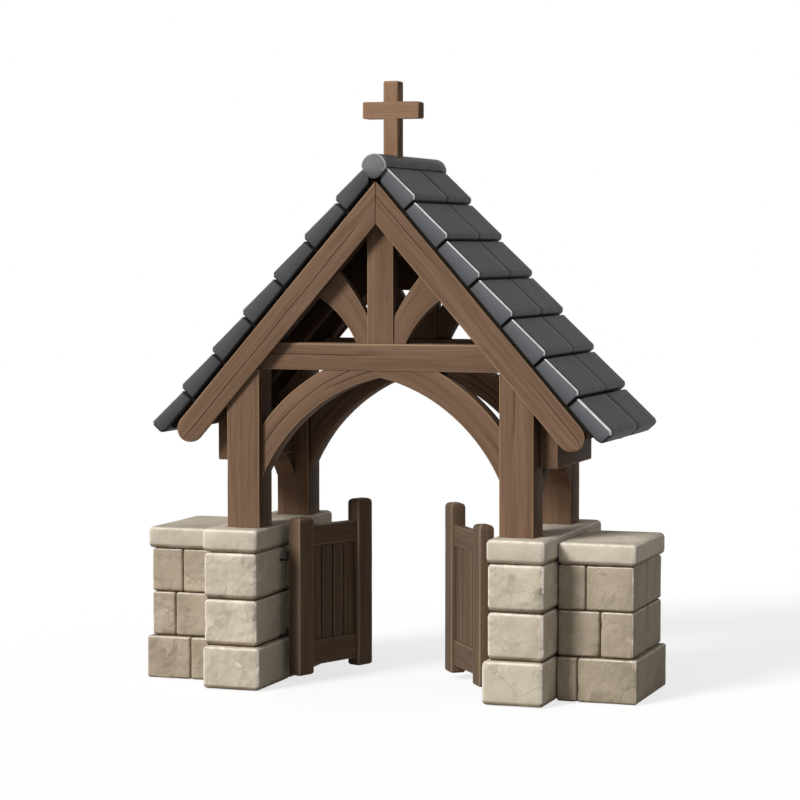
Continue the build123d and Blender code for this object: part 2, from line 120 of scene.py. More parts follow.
def surface(add, shader, body, height, strength, depth):
    """Gives the shader its colour and the relief of its surface."""
    bump = add("Bump", {"Height": height, "Strength": strength, "Distance": depth})[0]
    shader.id_data.links.new(bump, shader.inputs["Normal"])
    shader.id_data.links.new(body, shader.inputs["Base Color"])


def on_stone(add, offsets):
    """The tone of a stone, and places on it that are moved by the tone, so that no two look alike."""
    tone = add("Attribute", attribute_name="tone")["Fac"]
    shift = add("VectorMath", {0: offsets, 3: tone}, operation="SCALE")[0]
    return tone, add("VectorMath", (add("TexCoord")["Object"], shift), operation="ADD")[0]


def sandstone(name, pale, mid, brown, flake, relief, foot=None):
    """Fine-grained sandstone, dressed by hand: clouded beds, sandy grain, shallow flakes with curved
    edges, rare cracks and pits, upper arrises painted pale as wear and painted highlight, and lower
    arrises painted brown as painted shade. Flakes are in metres."""
    made, shader, add = start_material(name, 0.86, 0.2)
    tone, spot = on_stone(add, (37.0, 23.0, 11.0))
    wear_and_highlight = add("Attribute", attribute_name="wear_and_highlight")["Fac"]
    lower_arris_shade = add("Attribute", attribute_name="lower_arris_shade")["Fac"]
    cloud = add("TexNoise", {"Vector": spot, "Scale": 1 / 0.20, "Detail": 4.0, "Roughness": 0.55})["Fac"]
    patch = add("TexNoise", {"Vector": spot, "Scale": 1 / 0.05, "Detail": 4.0, "Distortion": 0.8})["Fac"]
    grit = add("TexNoise", {"Vector": spot, "Scale": 1 / 0.004, "Detail": 2.0})["Fac"]
    wide = add("MapRange", (cloud, 0.36, 0.66))[0]
    body = add("Mix", {0: wide, 6: mid, 7: pale}, data_type="RGBA")[2]
    stain = add("MapRange", (patch, 0.56, 0.84, 0.0, 0.30))[0]
    body = add("Mix", {0: stain, 6: body, 7: brown}, data_type="RGBA")[2]
    cast = add("MapRange", (tone, 0.0, 1.0, 0.92, 1.06))[0]
    body = add("VectorMath", {0: body, 3: cast}, operation="SCALE")[0]
    warp = add("TexNoise", {"Vector": spot, "Scale": 1 / 0.16, "Detail": 2.0})["Color"]
    bent = add("Mix", {0: 0.22, 6: spot, 7: warp}, data_type="RGBA")[2]
    chip = add("TexVoronoi", {"Vector": bent, "Scale": 1 / flake})
    tilt = add("VectorMath", (chip["Color"], (0.5, 0.5, 0.5)), operation="SUBTRACT")[0]
    reach = add("VectorMath", (bent, chip["Position"]), operation="SUBTRACT")[0]
    facet = add("VectorMath", (reach, tilt), operation="DOT_PRODUCT")["Value"]
    turned = add("MapRange", (chip["Color"], 0.2, 0.8, 0.95, 1.05))[0]
    body = add("VectorMath", {0: body, 3: turned}, operation="SCALE")[0]
    edge = add("TexVoronoi", {"Vector": bent, "Scale": 1 / flake}, feature="DISTANCE_TO_EDGE")
    line = add("MapRange", (edge["Distance"], 0.0, 0.010, 1.0, 0.0))[0]
    some = add("MapRange", (cloud, 0.46, 0.56, 0.0, 0.75))[0]
    crack = add("Math", (line, some), operation="MULTIPLY")[0]
    cell = add("TexVoronoi", {"Vector": bent, "Scale": 1 / 0.09})["Distance"]
    pit = add("MapRange", (cell, 0.03, 0.08, 1.0, 0.0))[0]
    rare = add("MapRange", (patch, 0.55, 0.60))[0]
    pit = add("Math", (pit, rare), operation="MULTIPLY")[0]
    cut = add("Math", (crack, pit), operation="MAXIMUM")[0]
    shade = add("MapRange", (cut, 0.0, 1.0, 0.0, 0.42))[0]
    body = add("Mix", {0: shade, 6: body, 7: "#5d4f3e"}, data_type="RGBA")[2]
    # Painted highlight: upper arrises and outer corners are mixed towards near-white, partly as wear.
    rim_variation = add("MapRange", (patch, 0.30, 0.55, 0.3, 1.0))[0]
    rim = add("Math", (wear_and_highlight, rim_variation), operation="MULTIPLY")[0]
    body = add("Mix", {0: rim, 6: body, 7: "#f6eee0"}, data_type="RGBA")[2]
    # Painted shade: the lower arrises are mixed towards brown.
    lower_shade_amount = add("MapRange", (cloud, 0.35, 0.6, 0.35, 0.8))[0]
    lower_shade_amount = add("Math", (lower_arris_shade, lower_shade_amount), operation="MULTIPLY")[0]
    body = add("Mix", {0: lower_shade_amount, 6: body, 7: "#7d664c"}, data_type="RGBA")[2]
    if foot:
        body = foot(add, patch, body)
    speck = add("MapRange", (grit, 0.3, 0.7, 0.91, 1.07))[0]
    body = add("VectorMath", {0: body, 3: speck}, operation="SCALE")[0]
    rise = add("Math", (cloud, 0.005), operation="MULTIPLY")[0]
    for share, height in ((facet, 0.46), (patch, 0.0025), (grit, 0.0005), (cut, -0.0015)):
        rise = add("Math", (share, height, rise), operation="MULTIPLY_ADD")[0]
    surface(add, shader, body, rise, relief, 1.0)
    return made


def mortar(name, grain, detail, dark, pale, strength, depth):
    """Lime mortar darkened by damp, its sand drawn as coarse as it needs to be to show."""
    made, shader, add = start_material(name, 0.95)
    place = add("TexCoord")["Object"]
    sand = add("TexNoise", {"Vector": place, "Scale": 1 / grain, "Detail": detail})["Fac"]
    body = add("Mix", {0: sand, 6: dark, 7: pale}, data_type="RGBA")[2]
    surface(add, shader, body, sand, strength, depth)
    return made


wall_stone = sandstone("tooled_sandstone", "#d0c5b1", "#c4b7a3", "#9e8f79", 0.15, 0.8)
joint_mortar = mortar("lime_mortar", 0.006, 3.0, "#3d3328", "#5b4f40", 0.4, 0.003)


def into(target, source):
    """Adds the finished source to the target and frees it."""
    carrier = bpy.data.meshes.new("carrier")
    source.to_mesh(carrier)
    source.free()
    target.from_mesh(carrier)
    bpy.data.meshes.remove(carrier)


def marks(bm, *names):
    """New values on the vertices of a mesh, which its material reads by their names."""
    return [bm.verts.layers.float.new(name) for name in names]


def block(low, high):
    """A plain block between two corners."""
    bm = bmesh.new()
    bmesh.ops.create_cube(bm, size=1.0)
    low, high = Vector(low), Vector(high)
    fit = Matrix.Translation((high + low) / 2) @ Matrix.Diagonal((*(high - low), 1.0))
    bmesh.ops.transform(bm, matrix=fit, verts=bm.verts)
    return bm


def follows(axis):
    """A test of whether a run follows the axis."""
    return lambda run: abs(run[axis]) > 0.9 * run.length


def grid_cuts(bm, step, tests=(follows(0), follows(1), follows(2)), least=1.5, digits=3):
    """Cuts long edges into stretches of about one step, one test of their run after the other, for a
    grid on each face. Edges shorter than the least number of steps stay whole."""
    for test in tests:
        lengths = {}
        for edge in bm.edges:
            run = edge.verts[1].co - edge.verts[0].co
            if test(run) and run.length > least * step:
                lengths.setdefault(round(run.length, digits), []).append(edge)
        for length, edges in sorted(lengths.items()):
            cuts = max(1, round(length / step) - 1)
            bmesh.ops.subdivide_edges(bm, edges=edges, cuts=cuts, use_grid_fill=True)


def cut_stone(low, high, arris, step, relief, bare=((True, True), (True, True))):
    """One squared stone: eased arrises, a face that undulates, and a chip knocked off an arris.
    bare says which of its sides in x and y lie in the face of the wall, where the arrises are
    painted pale as wear and painted highlight."""
    tone = draw.random()
    bm = block(low, high)
    bmesh.ops.bevel(bm, geom=bm.edges[:], offset=arris, segments=4, profile=0.5, affect="EDGES",
                    material=-1)
    grid_cuts(bm, step)
    bm.normal_update()
    axis = draw.randrange(3)
    # The first two of the five draws are spare, and only keep the sequence of the stones.
    ends = [draw.choice((0, 1)) for _ in range(5)][2:]
    chip = [low[i] + (high[i] - low[i]) * ends[i] for i in range(3)]
    chip[axis] = low[axis] + (high[axis] - low[axis]) * draw.uniform(0.1, 0.9)
    chip, reach = Vector(chip), draw.uniform(*chip_reach)
    tones, wear_and_highlight, lower_arris_shade = marks(bm, "tone", "wear_and_highlight", "lower_arris_shade")
    seed = Vector((tone * 31, tone * 17, tone * 47))
    for vert in bm.verts:
        vert[tones] = tone
        depths = [min(vert.co[i] - low[i], high[i] - vert.co[i]) / arris for i in range(3)]
        at_foot = vert.co.z - low[2] < lower_arris_shade_share * arris
        at_top = high[2] - vert.co.z < pale_share * arris and min(depths[:2]) < pale_share
        sides = [bare[i][0 if vert.co[i] < (low[i] + high[i]) / 2 else 1] for i in range(2)]
        at_corner = all(sides) and max(depths[:2]) < pale_share
        # Lower arrises are marked for painted shade.
        vert[lower_arris_shade] = 1.0 if at_foot else 0.0
        # Upper arrises and outer corners are marked pale, as wear and painted highlight.
        vert[wear_and_highlight] = 1.0 if (at_corner or at_top) and not at_foot else 0.0
        swell = noise.noise(vert.co * 5.5 + seed) + 0.5 * noise.noise(vert.co * 15 + seed)
        near = (vert.co - chip).length / reach
        vert.co -= vert.normal * (relief * (0.55 - 0.45 * swell) + chip_depth * max(0, 1 - near))
    return bm


def put(name, data):
    """Puts an object with its data into the scene."""
    made = bpy.data.objects.new(name, data)
    bpy.context.scene.collection.objects.link(made)
    return made


def add_piece(bm, name, node, materials, body="lychgate"):
    """Makes the finished mesh a piece that rides on its body and stands for its node."""
    mesh = bpy.data.meshes.new(name)
    bm.to_mesh(mesh)
    bm.free()
    for material in materials:
        mesh.materials.append(material)
    mesh.shade_smooth()
    mesh.set_sharp_from_angle(angle=smooth_angle)
    piece = put(name, mesh)
    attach(piece, body)
    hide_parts(node)


def lay_mortar(covered, bm):
    """Adds the mortar under the stones or slates of a piece, in its second material."""
    for face in bm.faces:
        face.material_index = 1
    into(covered, bm)


def lay_stone(walling, ends, gaps, arris, bare):
    """Lays one stone between its ends in x, y and z, less its share of the joint on each side."""
    low = [min(pair) + gap for pair, gap in zip(ends, gaps)]
    high = [max(pair) - gap for pair, gap in zip(ends, gaps)]
    into(walling, cut_stone(low, high, arris, stone_grid, stone_relief, bare))


def add_wall(walling, kind, hand, stone, x_ends):
    """Fills a wall with the mortar that is seen only at the bottom of its joints, and adds it."""
    node = kind + "_wall_" + hand
    low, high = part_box(node)
    core = block((min(x_ends), low.y + plinth_step + mortar_depth, mortar_foot),
                 (max(x_ends), high.y - plinth_step - mortar_depth, high.z - mortar_depth))
    grid_cuts(core, mortar_grid)
    lay_mortar(walling, core)
    add_piece(walling, kind + "_stones_" + hand, node, [stone, joint_mortar])


half_joint = stone_joint / 2
for side, hand in hands:
    low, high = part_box("pier_wall_" + hand)
    walling = bmesh.new()
    inner, outer = (low.x, high.x) if side > 0 else (high.x, low.x)
    step_in = plinth_step * side
    bed = 0.0
    for course, (top, stone_ends) in enumerate(zip(course_tops, pier_stone_ends)):
        near = inner + step_in if course else inner
        for start, end in zip(stone_ends, stone_ends[1:]):
            first, last = start == stone_ends[0], end == stone_ends[-1]
            far = outer - step_in
            # Behind the wing wall the plinth steps outwards too.
            if last and not course:
                far += step_in
            lay_stone(walling, ((near, far), (start, end), (bed, top)), (0.0, half_joint, half_joint),
                      stone_arris, ((True, True), (first, last)))
        bed = top
    add_wall(walling, "pier", hand, wall_stone, (inner + step_in + mortar_depth * side,
                                                 outer - step_in - mortar_depth * side))

# Wing walls: squared stones in courses a little lower than the piers', on a plinth of through stones.
# Above it they are two leaves thick with staggered upright joints, and bonded to the piers.
wing_courses = (0.30, 0.61, 0.915)
wing_front_joints = {"left": (0.40, 0.66, 0.55), "right": (0.26, 0.56, 0.37)}
wing_back_joints = (0.60, 0.40, 0.55)
wing_leaf_joints = (1.0, 0.50, 0.47)
wing_arris = 0.020
# The wing walls' stone is a darker copy of the pier sandstone: painted shade.
shaded_wing_stone = sandstone("wing_sandstone_painted_shade", "#b3a591", "#a59782", "#857661", 0.15, 0.8)

for side, hand in hands:
    low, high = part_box("wing_wall_" + hand)
    walling = bmesh.new()
    inner, outer = (low.x, high.x) if side > 0 else (high.x, low.x)
    bed = 0.0
    for course, top in enumerate(wing_courses):
        inset = plinth_step if course else 0.0
        far = outer - inset * side
        front, back = low.y + inset, high.y - inset
        leaf = front + (back - front) * wing_leaf_joints[course]
        joints = (wing_front_joints[hand][course], wing_back_joints[course])
        for (start, end), share in zip(((front, leaf), (leaf, back)), joints):
            if end - start < wing_arris:
                continue
            split = inner + (far - inner) * share
            for x_ends in ((inner, split), (split, far)):
                outer_end = x_ends[1] == far
                bare = ((side < 0 and outer_end, side > 0 and outer_end), (start == front, end == back))
                lay_stone(walling, (x_ends, (start, end), (bed, top)), [half_joint] * 3, wing_arris, bare)
        bed = top
    add_wall(walling, "wing", hand, shaded_wing_stone, (inner, outer - (plinth_step + mortar_depth) * side))

# Caps: long sandstone slabs with rubbed faces and rounded arrises, set in mortar on the walls.
# They overhang a little, and those of the piers carry the posts.
cap_arris = 0.034
cap_grid = 0.045
cap_relief = 0.002
stain_reach = 0.035
post_low, post_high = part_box("post_front_right")


def post_stain(add, patch, body):
    """Brown stain that the oak leaves on the caps, close round the feet of the posts."""
    far = add("VectorMath", (add("TexCoord")["Object"],), operation="ABSOLUTE")[0]
    middle = ((post_low.x + post_high.x) / 2, -(post_low.y + post_high.y) / 2, 0)
    far = add("VectorMath", (far, middle), operation="SUBTRACT")[0]
    far = add("VectorMath", (far,), operation="ABSOLUTE")[0]
    far = add("SeparateXYZ", (far,))
    far = add("Math", (far["X"], far["Y"]), operation="MAXIMUM")[0]
    half = (post_high.x - post_low.x) / 2
    ring = add("MapRange", (far, half, half + stain_reach, 0.9, 0.0))[0]
    ring = add("Math", (ring, patch, 0.15), operation="MULTIPLY_ADD", use_clamp=True)[0]
    ring = add("MapRange", (ring, 0.25, 0.62, 0.0, 0.8))[0]
    return add("Mix", {0: ring, 6: body, 7: "#6a5340"}, data_type="RGBA")[2]


cap_stone = sandstone("rubbed_sandstone", "#d1c6b4", "#c4b7a4", "#9e8e79", 0.30, 0.35, post_stain)

for _, hand in hands:
    for wall in ("pier", "wing"):
        capstone = cut_stone(*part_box(wall + "_cap_" + hand), cap_arris, cap_grid, cap_relief)
        add_piece(capstone, wall + "_capstone_" + hand, wall + "_cap_" + hand, [cap_stone])

# Posts: squared oak, planed and oiled, weathered to a warm grey brown, with arrises painted pale as
# wear and painted highlight, and a few long shakes. They stand on the caps, and their heads are cut
# to the underside of the rafters.
pitch = math.radians(48.7)
cos_pitch, sin_pitch = math.cos(pitch), math.sin(pitch)
rafter_low = 0.175
apex_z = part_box("roof_deck")[1].z
timber_step = 0.07
timber_wave = 0.0012
post_arris = 0.010
shake_width = 0.006
shake_depth = 0.005
shake_wander = 0.009


def oak(name, pale, mid, dark, wear_and_highlight_tone, wear_and_highlight_share, roughness, side_shade=0.0):
    """Oiled oak: long grain streaks, wider bands, shakes, and arrises painted pale as wear and painted
    highlight.
    Its pattern follows the piece's own grain attribute, in metres along and across the fibres.
    Faces turned sideways or down are painted darker, as painted shade."""
    made, shader, add = start_material(name, roughness)
    grain = add("Attribute", attribute_name="grain")["Vector"]
    wear_and_highlight = add("Attribute", attribute_name="wear_and_highlight")["Fac"]
    shake = add("Attribute", attribute_name="shake")["Fac"]
    fibre = add("Mapping", {"Vector": grain, "Scale": (1 / 0.35, 1 / 0.006, 1 / 0.006)})[0]
    fine = add("TexNoise", {"Vector": fibre, "Scale": 1.0, "Detail": 3.0, "Distortion": 0.3})["Fac"]
    place = add("Mapping", {"Vector": grain, "Scale": (1 / 0.9, 1 / 0.035, 1 / 0.035)})[0]
    band = add("TexNoise", {"Vector": place, "Scale": 1.0, "Detail": 3.0, "Distortion": 0.6})["Fac"]
    wide = add("MapRange", (band, 0.34, 0.68))[0]
    body = add("Mix", {0: wide, 6: mid, 7: pale}, data_type="RGBA")[2]
    streak = add("MapRange", (fine, 0.50, 0.78, 0.0, 0.46))[0]
    body = add("Mix", {0: streak, 6: body, 7: dark}, data_type="RGBA")[2]
    place = add("Mapping", {"Vector": grain, "Scale": (1 / 1.6, 1 / 0.016, 1 / 0.016)})[0]
    line = add("TexNoise", {"Vector": place, "Scale": 1.0, "Detail": 1.0, "Distortion": 0.8})["Fac"]
    away = add("Math", (line, 0.5), operation="SUBTRACT")[0]
    away = add("Math", (away,), operation="ABSOLUTE")[0]
    check = add("MapRange", (away, 0.0, 0.010, 1.0, 0.0))[0]
    shown = add("MapRange", (band, 0.48, 0.56, 0.0, 0.6))[0]
    check = add("Math", (check, shown), operation="MULTIPLY")[0]
    # Painted shade: faces turned sideways or down are darkened by this material's share.
    side_shade_scale = add("Attribute", attribute_name="side_shade_mask")["Fac"]
    side_shade_scale = add("MapRange", (side_shade_scale, 0.0, 1.0, 1.0, 1.0 - side_shade))[0]
    body = add("VectorMath", {0: body, 3: side_shade_scale}, operation="SCALE")[0]
    deep = add("Math", (check, shake), operation="MAXIMUM")[0]
    body = add("Mix", {0: deep, 6: body, 7: "#33251c"}, data_type="RGBA")[2]
    rim_variation = add("TexNoise", {"Vector": fibre, "Scale": 0.5, "Detail": 2.0})["Fac"]
    rim_variation = add("MapRange", (rim_variation, 0.3, 0.6, 0.45, 1.0))[0]
    edge = add("Math", (wear_and_highlight, rim_variation), operation="MULTIPLY")[0]
    edge = add("Math", (edge, wear_and_highlight_share), operation="MULTIPLY")[0]
    # Painted highlight: marked arrises are mixed towards the pale tone, partly as wear.
    body = add("Mix", {0: edge, 6: body, 7: wear_and_highlight_tone}, data_type="RGBA")[2]
    height = add("Math", (deep, -0.8, fine), operation="MULTIPLY_ADD")[0]
    surface(add, shader, body, height, 0.35, 0.003)
    return made


frame_oak = oak("oiled_frame_oak", "#806552", "#705744", "#513d2e", "#b19373", 0.8, 0.62, 0.54)


def side_shade(bm, layer):
    """Marks how far a timber's faces are turned sideways or down, for painted shade."""
    bm.normal_update()
    for vert in bm.verts:
        away = max(abs(vert.normal.x), -vert.normal.z)
        vert[layer] = min(1.0, max(0.0, (away - 0.75) / 0.2))


def section(thick, deep, arrises, shakes=(), back_shakes=(), spacing=0.05):
    """Outline of a squared timber as (u, v, wear and highlight, shake): u across its thickness, the
    front at -u, and v across its depth. Arrises go round from front low; shakes are shares of the depth."""
    u, v = thick / 2, deep / 2
    points = []

    def corner(at_u, at_v, arris, first_along_v):
        """An arris, marked pale for wear and painted highlight at the point in its middle."""
        flat_u = (at_u - math.copysign(arris, at_u), at_v, 0, 0)
        flat_v = (at_u, at_v - math.copysign(arris, at_v), 0, 0)
        bend = 0.29 * arris
        middle = (at_u - math.copysign(bend, at_u), at_v - math.copysign(bend, at_v), 1, 0)
        points.extend([flat_v, middle, flat_u] if first_along_v else [flat_u, middle, flat_v])

    def face(at_u, from_v, to_v, lines):
        """A face from arris to arris, with a shake at each of its lines."""
        count = max(1, round(abs(to_v - from_v) / spacing))
        stops = [(from_v + (to_v - from_v) * i / count, 0) for i in range(1, count)]
        wide = math.copysign(shake_width / 2, to_v - from_v)
        for share in lines:
            at = deep * (share - 0.5)
            stops = [s for s in stops if abs(s[0] - at) > shake_width + shake_wander]
            stops += [(at - wide, 0), (at, 1), (at + wide, 0)]
        for at, cut in sorted(stops, reverse=to_v < from_v):
            points.append((at_u - math.copysign(shake_depth, at_u) * cut, at, 0, cut))

    corner(-u, -v, arrises[0], False)
    face(-u, -v + arrises[0], v - arrises[1], shakes)
    corner(-u, v, arrises[1], True)
    corner(u, v, arrises[2], False)
    face(u, v - arrises[2], -v + arrises[3], back_shakes)
    corner(u, -v, arrises[3], True)
    return points


def place(at, along, across):
    """Frame of a section: its thickness lies along across, and its depth square to both."""
    along, across = Vector(along).normalized(), Vector(across).normalized()
    across = (across - along * along.dot(across)).normalized()
    axes = Matrix((along, across, along.cross(across))).transposed().to_4x4()
    return Matrix.Translation(at) @ axes


def straight(start, end, across, step=timber_step, eased=0.0):
    """Stations of a straight timber as (place, distance, inset), the first ones for an eased foot."""
    start = Vector(start)
    run = Vector(end) - start
    count = max(1, round(run.length / step))
    stops = [(run.length * i / count, 0.0) for i in range(count + 1)]
    if eased:
        stops[:1] = [(0.0, eased), (eased, 0.0)]
    return [(place(start + run * reach / run.length, run, across), reach, inset) for reach, inset in stops]


def shake_run(distance, seed, at, open_share):
    """How far a shake wanders sideways at a distance along its timber, and how far it is open there."""
    wander = shake_wander * noise.noise(Vector((distance * 1.7, seed, at * 37)))
    wander += 0.2 * shake_wander * noise.noise(Vector((distance * 7, seed, at * 37)))
    opening = noise.noise(Vector((distance * 1.3, at * 41, seed + 7))) + open_share
    return wander, min(1.0, max(0.0, opening * 3.5))


def draw_on(bm, cap, first=False):
    """Extrudes the cap of a bar once more, and deletes the old cap unless it is the bar's first one.
    Returns the vertices of the new ring and the new cap."""
    made = bmesh.ops.extrude_face_region(bm, geom=[cap])["geom"]
    if not first:
        bmesh.ops.delete(bm, geom=[cap], context="FACES_ONLY")
    ring = [item for item in made if isinstance(item, bmesh.types.BMVert)]
    return ring, [item for item in made if isinstance(item, bmesh.types.BMFace)][0]


def timber(outline, stations, wave=timber_wave, open_share=-0.04):
    """Draws the outline through the stations by extrusion: a closed timber whose grain follows it.
    A station is (place, distance, inset), or holds a fourth value that scales the depth."""
    bm = bmesh.new()
    points = bm.verts.layers.int.new("point")
    grain = bm.verts.layers.float_vector.new("grain")
    wear_and_highlight, shake, side_shade_mask = marks(bm, "wear_and_highlight", "shake", "side_shade_mask")
    seed = draw.uniform(0, 50)

    def cut_of(number):
        """Where the shake lies that a point of the outline belongs to, if it belongs to one."""
        for other in (number - 1, number, number + 1):
            if outline[other % len(outline)][3]:
                return outline[other % len(outline)][1]
        return None

    for number, (u, v, edge, cut) in enumerate(outline):
        vert = bm.verts.new((0, u, v))
        vert[points], vert[wear_and_highlight], vert[shake] = number, edge, cut
    ring = bm.verts[:]
    cap = bm.faces.new(ring)
    for number, (matrix, distance, inset, *depth_scale) in enumerate(stations):
        if number:
            ring, cap = draw_on(bm, cap, number == 1)
        for vert in ring:
            u, v, edge, cut = outline[vert[points]]
            near = cut_of(vert[points])
            wander, opened = (0.0, 0.0) if near is None else shake_run(distance, seed, near, open_share)
            sway = wave * (1 + noise.noise(Vector((distance * 6, u * 20, v * 20 + seed))))
            flat_u = u - math.copysign(min(abs(u), inset + sway), u)
            flat_u += math.copysign(shake_depth * cut * (1 - opened), flat_u)
            flat_v = v - math.copysign(min(abs(v), inset + sway), v) + wander
            for deeper in depth_scale:
                flat_v *= deeper
            vert[shake] = cut * opened
            vert.co = matrix @ Vector((0, flat_u, flat_v))
            vert[grain] = (distance + seed, u + seed, v)
    bmesh.ops.recalc_face_normals(bm, faces=bm.faces)
    side_shade(bm, side_shade_mask)
    return bm


def saw(bm, at, normal):
    """Saws off what lies beyond the plane and closes the cut."""
    geometry = bm.verts[:] + bm.edges[:] + bm.faces[:]
    cut = bmesh.ops.bisect_plane(bm, geom=geometry, plane_co=at, plane_no=normal, clear_outer=True,
                                 dist=1e-6)
    rim = [item for item in cut["geom_cut"] if isinstance(item, bmesh.types.BMEdge)]
    bmesh.ops.holes_fill(bm, edges=rim, sides=0)


def off_slope(side):
    """The direction square to the slope on that side, away from the roof."""
    return Vector((side * sin_pitch, 0, cos_pitch))


def slope_at(side, depth):
    """A point and the outward normal of the plane that lies depth below the slope on that side."""
    return (0, 0, apex_z - depth / cos_pitch), off_slope(side)


def raise_timber(bm, node, *cuts):
    """Saws a timber of the frame off at its cuts and adds it for its node."""
    for cut in cuts:
        saw(bm, *cut)
    add_piece(bm, node + "_timber", node, [frame_oak])


def four(kind):
    """The node, side, box and middle of each of the four like timbers at front and rear."""
    for end in ("front", "rear"):
        for side, hand in hands:
            node = kind + "_" + end + "_" + hand
            low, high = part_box(node)
            yield node, side, low, high, (low + high) / 2


for node, side, low, high, middle in four("post"):
    outline = section(high.y - low.y, high.x - low.x, (post_arris,) * 4,
                      shakes=(0.46 + 0.1 * draw.random(),), back_shakes=(0.3 + 0.4 * draw.random(),))
    stations = straight((middle.x, middle.y, low.z), (middle.x, middle.y, high.z), (0, 1, 0))
    raise_timber(timber(outline, stations), node, slope_at(side, rafter_low))

# Tie beams: deep oak beams across the gate, tenoned over the post heads, with their upper arrises
# rounded more than the lower ones and long shakes in the face.
tie_arrises = (0.008, 0.018, 0.018, 0.008)

for end in ("front", "rear"):
    node = "tie_beam_" + end
    low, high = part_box(node)
    middle = (low + high) / 2
    outline = section(high.y - low.y, high.z - low.z, tie_arrises, shakes=(0.58,), back_shakes=(0.45,))
    stations = straight((low.x, middle.y, middle.z), (high.x, middle.y, middle.z), (0, 1, 0))
    beam = timber(outline, stations, open_share=0.1)
    raise_timber(beam, node, slope_at(-1, rafter_low), slope_at(1, rafter_low))

# King posts: short oak posts, tenoned into the tie beams, with heads that fork round the ridge beam
# and are cut to the slopes of the roof.
king_head = 0.026

for end in ("front", "rear"):
    node = "king_post_" + end
    low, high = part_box(node)
    middle = (low + high) / 2
    outline = section(high.y - low.y, high.x - low.x, (post_arris,) * 4, back_shakes=(0.4,))
    post = timber(outline, straight((0, middle.y, low.z), (0, middle.y, high.z), (0, 1, 0)))
    raise_timber(post, node, slope_at(-1, king_head), slope_at(1, king_head))

# Struts: two curved oak struts to a king post, sawn from bent boughs, from its foot and the tie
# beam to the underside of the rafters.
strut_thickness = 0.09
strut_deep = 0.19
strut_length = 0.45
strut_arris = 0.007
strut_shake = 0.36
strut_steps = 12
strut_below, strut_above = 0.4, 1.1
strut_toe, strut_low_head = 0.177, 0.45
strut_high_head = 0.30
strut_shoulder_rise = 0.183
strut_bows = (0.030, 0.010)
king_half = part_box("king_post_front")[1].x
tie_low, tie_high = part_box("tie_beam_front")


def underside(x):
    """Point of the underside of the rafters at x from the middle, as (x, z)."""
    return x, apex_z - math.tan(pitch) * abs(x) - rafter_low / cos_pitch


def bowed_point(start, end, bow, share):
    """Point at a share of the way on a curve from start to end that bows out to its left."""
    run = Vector((end[0] - start[0], end[1] - start[1]))
    out = Vector((-run.y, run.x)).normalized() * bow * (1 - (2 * share - 1) ** 2)
    return Vector(start) + run * share + out


struts = bmesh.new()
for end in (-1, 1):
    middle_y = (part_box("king_struts")[0].y + strut_thickness / 2) * -end
    for side in (-1, 1):
        stations = []
        for number in range(strut_steps + 1):
            share = number / strut_steps * (strut_above + strut_below) - strut_below
            under = bowed_point((strut_toe, tie_high.z), underside(strut_low_head), strut_bows[0], share)
            over = bowed_point((king_half, tie_high.z + strut_shoulder_rise), underside(strut_high_head),
                               strut_bows[1], share)
            middle, across = (under + over) / 2, over - under
            deep = across.length
            across.normalize()
            along = (side * across.y, 0, -across.x)
            at = place((side * middle.x, middle_y, middle.y), along, (0, -side, 0))
            stations.append((at, share * strut_length, 0.0, deep / strut_deep))
        shakes = ((strut_shake,), ())[::side]
        strut = timber(section(strut_thickness, strut_deep, (strut_arris,) * 4, *shakes), stations)
        saw(strut, (side * king_half, 0, 0), (-side, 0, 0))
        saw(strut, (0, 0, tie_high.z), (0, 0, -1))
        saw(strut, *slope_at(side, rafter_low))
        into(struts, strut)
raise_timber(struts, "king_struts")

# Arch braces: four ring segments sawn from wide oak planks, two to a frame, from the posts to the
# underside of the tie beam, where a pair meets in a butt joint. Shakes follow the curve.
arch_centre_x, arch_centre_z = -0.26, tie_low.z - 1.229
arch_inner = 1.212
arch_deep = 0.191
arch_arris = 0.009
arch_shakes = (0.30, 0.55)
arch_steps = 26
arch_radius = arch_inner + arch_deep / 2
arch_foot, arch_head = math.radians(14), math.radians(82)

for node, side, low, high, middle in four("arch_brace"):
    stations = []
    for number in range(arch_steps + 1):
        angle = arch_head + (arch_foot - arch_head) * number / arch_steps
        at = (side * (arch_centre_x + arch_radius * math.cos(angle)), middle.y,
              arch_centre_z + arch_radius * math.sin(angle))
        along = (side * math.sin(angle), 0, -math.cos(angle))
        stations.append((place(at, along, (0, side, 0)), arch_radius * (arch_head - angle), 0.0))
    outline = section(high.y - low.y, arch_deep, (arch_arris,) * 4, arch_shakes, arch_shakes)
    post_face = side * max(abs(low.x), abs(high.x))
    raise_timber(timber(outline, stations, open_share=0.18), node, ((0, 0, 0), (-side, 0, 0)),
                 ((post_face, 0, 0), (side, 0, 0)), ((0, 0, high.z), (0, 0, 1)))

# Eaves plates, side braces, ridge beam and rafters: sawn oak with eased arrises. Ridge beam and
# rafters are rougher, their oak painted darker as painted shade for the dark of the roof, and the
# rafters' feet are sawn back.
flat_angle, sharp_angle = math.radians(1), math.radians(25)
rafter_run = 2.06
# The roof oak is a darker copy of the frame oak: painted shade.
shaded_roof_oak = oak("sawn_roof_oak_painted_shade", "#5a4435", "#4a382b", "#382a20", "#6e5542", 0.5, 0.75, 0.4)


